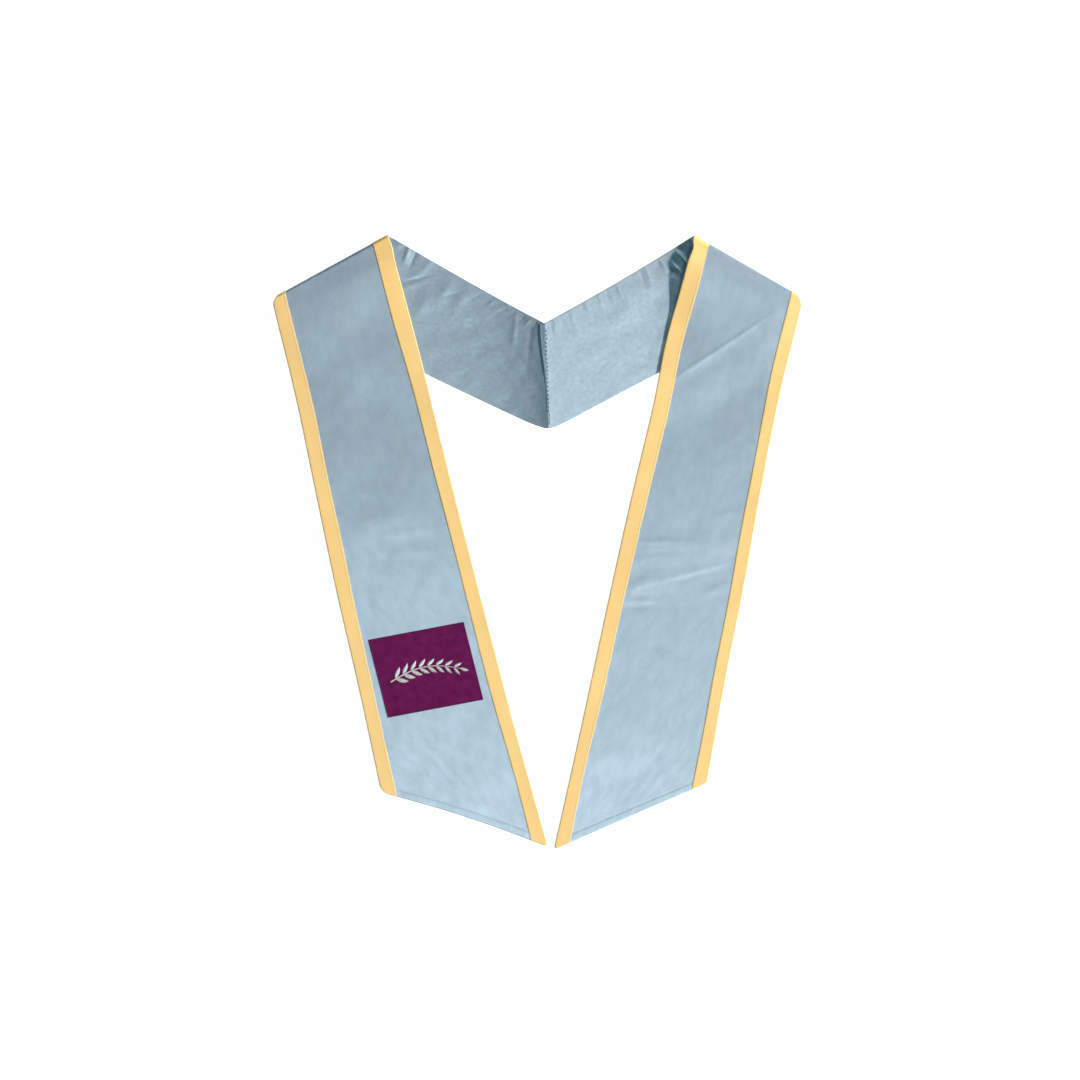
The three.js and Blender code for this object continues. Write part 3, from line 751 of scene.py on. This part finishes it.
def laurel_sprig():
    """A sprig of laurel in satin stitch: a bowed stem with leaves in pairs that shrink towards its tip."""
    t = np.linspace(0, 1, 60)
    bowed = 5.5 - SPRIG["bow"] * np.sin(math.pi * t * 0.92) + 2.0 * t
    stem = np.stack([mix(-SPRIG["half"], SPRIG["half"], t), bowed], axis=1)
    ways = np.gradient(stem, axis=0)
    ways /= np.linalg.norm(ways, axis=1, keepdims=True)
    fine = np.linspace(0, 1, 170)
    centre, way = read(fine, t, stem), read(fine, t, ways)
    girth = mix(0.75, 0.4, fine)[:, None]
    across = np.stack([-way[:, 1], way[:, 0]], axis=1) * girth
    lead = way * (0.5 * girth)
    starts, ends = [centre - across - lead], [centre + across + lead]
    for place in np.linspace(0.08, 0.92, SPRIG["pairs"]):
        at, way = read(place, t, stem), read(place, t, ways)
        side = np.array([-way[1], way[0]])
        size = mix(SPRIG["first_leaf"], SPRIG["last_leaf"], place)
        for hand in (-1, 1):
            out = way * 0.80 + side * hand * 0.62
            root = at + side * hand * 0.9
            a, b = leaf_threads(root, root + out * size, size * SPRIG["slender"])
            starts.append(a)
            ends.append(b)
    a, b = leaf_threads(stem[-1], stem[-1] + ways[-1] * 8.0, 1.7)
    starts.append(a)
    ends.append(b)
    starts = on_patch(np.concatenate(starts) + SPRIG["middle"], PATCH_WALL - 0.02)
    ends = on_patch(np.concatenate(ends) + SPRIG["middle"], PATCH_WALL - 0.02)
    return thread_run("laurel_sprig", starts, ends, LEAF_STITCH)


# Shader groups: a height and a mask from a vector in metres, and a colour from a mask

def add(tree, kind, **values):
    """A new node of that kind, with those properties."""
    node = tree.nodes.new(kind)
    for key, value in values.items():
        setattr(node, key, value)
    return node


def calc(tree, operation, a, b=None):
    """The output of a math node on a and b, each a number or another node's output."""
    node = add(tree, "ShaderNodeMath", operation=operation)
    for socket, value in zip(node.inputs, (a, b)):
        if value is None:
            continue
        if isinstance(value, (int, float)):
            socket.default_value = value
        else:
            tree.links.new(value, socket)
    return node.outputs[0]


def group(name, inputs, outputs):
    """An empty shader group with those named sockets: (name, kind, default)."""
    tree = bpy.data.node_groups.new(name, "ShaderNodeTree")
    for label, kind, default in inputs:
        socket = tree.interface.new_socket(label, in_out="INPUT", socket_type=kind)
        if default is not None:
            socket.default_value = default
    for label, kind in outputs:
        tree.interface.new_socket(label, in_out="OUTPUT", socket_type=kind)
    return tree, tree.nodes.new("NodeGroupInput").outputs, tree.nodes.new("NodeGroupOutput").inputs


FLOAT, COLOR, VECTOR = "NodeSocketFloat", "NodeSocketColor", "NodeSocketVector"


def make_weave():
    """Woven threads. Across the cloth the height is a sine of u over the warp's pitch, and along it a
    sine of v over the weft's pitch, shifted from one warp thread to the next by the float."""
    tree, given, out = group("woven threads", [
        ("Vector", VECTOR, None), ("Warp pitch mm", FLOAT, 0.3), ("Weft pitch mm", FLOAT, 0.3),
        ("Float shift", FLOAT, 1.6)], [("Height", FLOAT)])
    parts = add(tree, "ShaderNodeSeparateXYZ")
    tree.links.new(given["Vector"], parts.inputs[0])
    across = calc(tree, "MULTIPLY", parts.outputs[0], 1000.0)
    along = calc(tree, "MULTIPLY", parts.outputs[1], 1000.0)
    u = calc(tree, "DIVIDE", across, given["Warp pitch mm"])
    v = calc(tree, "DIVIDE", along, given["Weft pitch mm"])
    warp = calc(tree, "SINE", calc(tree, "MULTIPLY", u, 2 * math.pi))
    shifted = calc(tree, "ADD", v, calc(tree, "MULTIPLY", u, given["Float shift"]))
    weft = calc(tree, "SINE", calc(tree, "MULTIPLY", shifted, 2 * math.pi))
    warp_part, weft_part = calc(tree, "MULTIPLY", warp, 0.3), calc(tree, "MULTIPLY", weft, 0.2)
    both = calc(tree, "ADD", warp_part, weft_part)
    tree.links.new(calc(tree, "ADD", both, 0.5), out["Height"])
    return tree


def make_mottle():
    """Cloudy unevenness of a cloth's lie and shine: noise of one size, with finer noise on it, spread
    to 0..1."""
    tree, given, out = group("cloudy mottle", [
        ("Vector", VECTOR, None), ("Size mm", FLOAT, 8.0), ("Stretch", FLOAT, 1.0), ("Contrast", FLOAT, 1.0),
    ], [("Mask", FLOAT)])
    parts = add(tree, "ShaderNodeSeparateXYZ")
    tree.links.new(given["Vector"], parts.inputs[0])
    joined = add(tree, "ShaderNodeCombineXYZ")
    scale = calc(tree, "DIVIDE", 1000.0, given["Size mm"])
    tree.links.new(calc(tree, "MULTIPLY", parts.outputs[0], scale), joined.inputs[0])
    slow = calc(tree, "DIVIDE", scale, given["Stretch"])
    tree.links.new(calc(tree, "MULTIPLY", parts.outputs[1], slow), joined.inputs[1])
    noise = add(tree, "ShaderNodeTexNoise", noise_dimensions="2D")
    noise.inputs["Scale"].default_value = 1.0
    noise.inputs["Detail"].default_value = 5.0
    noise.inputs["Roughness"].default_value = 0.62
    tree.links.new(joined.outputs[0], noise.inputs["Vector"])
    centred = calc(tree, "SUBTRACT", noise.outputs[0], 0.5)
    spread = calc(tree, "MULTIPLY", centred, given["Contrast"])
    held = add(tree, "ShaderNodeClamp")
    tree.links.new(calc(tree, "ADD", calc(tree, "MULTIPLY", spread, 2.0), 0.5), held.inputs[0])
    tree.links.new(held.outputs[0], out["Mask"])
    return tree


def make_two_tone():
    """A colour between two, by a mask."""
    tree, given, out = group(
        "two tone cloth",
        [("Mask", FLOAT, 0.5), ("Deep", COLOR, (0.2, 0.2, 0.2, 1)), ("Light", COLOR, (0.8, 0.8, 0.8, 1))],
        [("Color", COLOR)])
    blend = add(tree, "ShaderNodeMix", data_type="RGBA")
    tree.links.new(given["Mask"], blend.inputs["Factor"])
    deep, light = (socket for socket in blend.inputs if socket.type == "RGBA")
    tree.links.new(given["Deep"], deep)
    tree.links.new(given["Light"], light)
    tree.links.new([socket for socket in blend.outputs if socket.type == "RGBA"][0], out["Color"])
    return tree


WEAVE, MOTTLE, TWO_TONE = make_weave(), make_mottle(), make_two_tone()
ROUGH_SPREAD = 0.06


def srgb(red, green, blue):
    """A colour given as on a screen, 0 to 255, as light."""
    c = np.array([red, green, blue]) / 255
    light = np.where(c <= 0.04045, c / 12.92, ((c + 0.055) / 1.055) ** 2.4)
    return (*light.tolist(), 1.0)


def blank_material(name):
    """A new material with its tree and its shader."""
    material = bpy.data.materials.new(name)
    material.use_nodes = True
    return material, material.node_tree, material.node_tree.nodes["Principled BSDF"]


def raise_relief(tree, shader, height):
    """Shades as if the surface stood up by that height, in metres."""
    relief = add(tree, "ShaderNodeBump")
    relief.inputs["Strength"].default_value = 1.0
    relief.inputs["Distance"].default_value = 1.0
    tree.links.new(height, relief.inputs["Height"])
    tree.links.new(relief.outputs[0], shader.inputs["Normal"])


def use_group(tree, made, **values):
    """The output of a shader group, given numbers or outputs by the names of its inputs."""
    node = add(tree, "ShaderNodeGroup", node_tree=made)
    for key, value in values.items():
        socket = node.inputs[key.replace("_", " ")]
        if isinstance(value, bpy.types.NodeSocket):
            tree.links.new(value, socket)
        else:
            socket.default_value = value
    return node.outputs[0]


def cloth_material(name, deep, light, gloss, mottle_mm, stretch, contrast, warp, weft, shift,
                   thread_height, mottle_height, metal=0.0, specular=0.5):
    """A woven cloth: two tones by a cloudy mask, a little smoother where that is high, and a bump of
    mottle and threads, all on the piece's uv."""
    material, tree, shader = blank_material(name)
    uv = add(tree, "ShaderNodeUVMap", uv_map="cloth").outputs[0]
    cloud = use_group(
        tree, MOTTLE, Vector=uv, Size_mm=mottle_mm, Stretch=stretch, Contrast=contrast)
    tone = use_group(tree, TWO_TONE, Mask=cloud, Deep=deep, Light=light)
    tree.links.new(tone, shader.inputs["Base Color"])
    smoother = calc(tree, "MULTIPLY", cloud, -ROUGH_SPREAD)
    rough = calc(tree, "ADD", smoother, gloss + ROUGH_SPREAD / 2)
    tree.links.new(rough, shader.inputs["Roughness"])
    threads = use_group(
        tree, WEAVE, Vector=uv, Warp_pitch_mm=warp, Weft_pitch_mm=weft, Float_shift=shift)
    thread_part = calc(tree, "MULTIPLY", threads, thread_height * MM)
    height = calc(tree, "ADD", thread_part, calc(tree, "MULTIPLY", cloud, mottle_height * MM))
    raise_relief(tree, shader, height)
    shader.inputs["Specular IOR Level"].default_value = specular
    shader.inputs["Metallic"].default_value = metal
    return material


def thread_material(name, deep, light, gloss, sheen=0.2):
    """A stitched thread: two tones in small patches, and a fine twist, on Object coordinates."""
    material, tree, shader = blank_material(name)
    place = add(tree, "ShaderNodeTexCoord").outputs["Object"]
    cloud = use_group(tree, MOTTLE, Vector=place, Size_mm=1.3, Stretch=1.0, Contrast=1.4)
    tone = use_group(tree, TWO_TONE, Mask=cloud, Deep=deep, Light=light)
    tree.links.new(tone, shader.inputs["Base Color"])
    twist = use_group(
        tree, WEAVE, Vector=place, Warp_pitch_mm=0.22, Weft_pitch_mm=0.22, Float_shift=1.0)
    raise_relief(tree, shader, calc(tree, "MULTIPLY", twist, 0.012 * MM))
    shader.inputs["Roughness"].default_value = gloss
    shader.inputs["Sheen Weight"].default_value = sheen
    return material


SATIN = dict(gloss=0.40, warp=0.24, weft=0.30, shift=1.6, thread_height=0.006, metal=0.5)
FACE_SATIN = cloth_material(
    "pale blue face satin", srgb(183, 198, 209), srgb(193, 207, 218),
    mottle_mm=9, stretch=1.5, contrast=1.4, mottle_height=0.05, **SATIN)
LINING_SATIN = cloth_material(
    "pale blue lining satin", srgb(184, 200, 211), srgb(198, 213, 223),
    mottle_mm=3.4, stretch=1.3, contrast=1.5, mottle_height=0.04, **SATIN)
GOLD_RIBBON = cloth_material(
    "gold ribbon", srgb(243, 201, 128), srgb(247, 207, 138), gloss=0.6, mottle_mm=34, stretch=3.0,
    contrast=1.0, warp=0.30, weft=0.85, shift=0.0, thread_height=0.020, mottle_height=0.03, specular=0.15)
PLUM_CLOTH = cloth_material(
    "plum patch cloth", srgb(86, 19, 66), srgb(106, 28, 80), gloss=0.70, mottle_mm=7, stretch=1.0,
    contrast=1.0, warp=0.45, weft=0.45, shift=1.0, thread_height=0.020, mottle_height=0.02, specular=0.05)
PLUM_THREAD = thread_material("plum thread", srgb(88, 22, 68), srgb(112, 36, 88), 0.6, sheen=0.0)
SILVER_THREAD = thread_material("silver thread", srgb(176, 172, 172), srgb(222, 220, 218), 0.42)
GOLD_THREAD = thread_material("gold thread", srgb(238, 196, 118), srgb(250, 214, 146), 0.5)
# Dark slate thread for the seam's stitches, which also paints the shade of the crease beside the lap
SEAM_THREAD_AND_SHADE = thread_material("slate blue thread and painted crease shade", srgb(52, 80, 96), srgb(78, 108, 124), 0.6, sheen=0.0)


def dress(obj, material, node):
    """Gives a piece its material and slot, and the node that it replaces, if any."""
    obj.data.materials.append(material)
    if node:
        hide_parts(node)
    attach(obj, "root")
    return obj


for side, half in HALVES.items():
    face, lining = cloth_layers(side, half)
    dress(face, FACE_SATIN, f"{side}_face_satin")
    dress(lining, LINING_SATIN, f"{side}_lining")
    stitches = dress(ribbon_stitches(side, half), GOLD_THREAD, None)
    for edge_name in ("neck", "outer"):
        piece = dress(ribbon(side, half, edge_name), GOLD_RIBBON, f"{side}_{edge_name}_ribbon")

dress(seam_lap(), LINING_SATIN, "nape_seam_lap")
dress(seam_stitches_and_painted_shade(), SEAM_THREAD_AND_SHADE, None)
patch = dress(plum_patch(), PLUM_CLOTH, "patch")
border = dress(patch_border(), PLUM_THREAD, None)
sprig = dress(laurel_sprig(), SILVER_THREAD, None)

# Floor, light and camera


def floor_disc():
    """A round floor just under the stole, out to five metres: rings of points at even angles."""
    radii, count, drop = np.array([0.5, 1.0, 2.0, 3.5, 5.0])[:, None], 64, 0.0001
    angles = np.linspace(0, 2 * math.pi, count, endpoint=False)
    x, y = radii * np.cos(angles), radii * np.sin(angles)
    ring = np.stack([x, y, np.full_like(x, -drop)], axis=-1)
    points = np.concatenate([ring.reshape(-1, 3), [[0, 0, -drop]]])
    i, j = np.meshgrid(np.arange(len(radii) - 1), np.arange(count), indexing="ij")
    a, b = i * count + j, i * count + (j + 1) % count
    quads = np.stack([a, a + count, b + count, b], axis=-1).reshape(-1, 4)
    middle = np.stack([np.full(count, len(radii) * count), a[0], b[0]], axis=-1)
    triangles = np.concatenate([quads[:, [0, 1, 2]], quads[:, [0, 2, 3]], middle])
    return mesh_object("floor", points, triangles)


floor = floor_disc()
floor_paint, _, paint = blank_material("white floor")
paint.inputs["Base Color"].default_value = (0.80, 0.80, 0.80, 1)
paint.inputs["Roughness"].default_value = 0.9
paint.inputs["Specular IOR Level"].default_value = 0.1
paint.inputs["Emission Color"].default_value = (1, 1, 1, 1)
paint.inputs["Emission Strength"].default_value = 0.92
floor.data.materials.append(floor_paint)
floor.visible_glossy = False  # it is white to the camera but leaves no shine on the cloth


def lamp(name, place, size, power, colour):
    """A round lamp at that place, in metres, aimed at the middle of the stole."""
    data = bpy.data.lights.new(name, "AREA")
    data.shape = "DISK"
    data.size = size
    data.energy = power
    data.color = colour
    obj = bpy.data.objects.new(name, data)
    scene.collection.objects.link(obj)
    obj.location = place
    x, y, z = place
    obj.rotation_euler = (math.atan2(math.hypot(x, y), z), 0, math.atan2(y, x) + math.pi / 2)
    return obj


# The key lamp gives only diffuse light and shadow, and the small lamps only the shine of the satin
KEY_TINT = (0.995, 0.975, 0.98)
SHINE_TINT = (0.78, 0.92, 0.95)
SHINE_LAMPS = (((-0.3, -0.4, 1.5), 1.8), ((0.24, -0.75, 1.5), 5.0), ((0.70, 0.0, 1.5), 1.3))
lamp("key", (9.6, 0.1, 5.2), size=1.0, power=2600, colour=KEY_TINT).visible_glossy = False
for place, power in SHINE_LAMPS:
    lamp("satin shine", place, size=0.4, power=power, colour=SHINE_TINT).visible_diffuse = False

world = bpy.data.worlds.new("pale studio")
scene.world = world
world.use_nodes = True
sky = world.node_tree.nodes["Background"]
sky.inputs["Color"].default_value = (0.26, 0.82, 1.0, 1)
sky.inputs["Strength"].default_value = 0.115

scene.view_settings.view_transform = "Standard"
scene.view_settings.look = "None"

# The camera looks straight down. The middle of the picture is a little beside the stole's origin
MM_PER_PIXEL = 0.934
PICTURE_WIDTH = 1080 * MM_PER_PIXEL * MM
PICTURE_MIDDLE = (2.8 * MM, 0.5 * MM)
CAMERA_HEIGHT = 4.5
SENSOR_MM = 36
camera_data = bpy.data.cameras.new("camera")
camera_data.sensor_width = SENSOR_MM
camera_data.lens = SENSOR_MM * CAMERA_HEIGHT / PICTURE_WIDTH
camera_data.clip_end = 60
camera = bpy.data.objects.new("camera", camera_data)
camera.location = (*PICTURE_MIDDLE, CAMERA_HEIGHT)
scene.collection.objects.link(camera)
scene.camera = camera
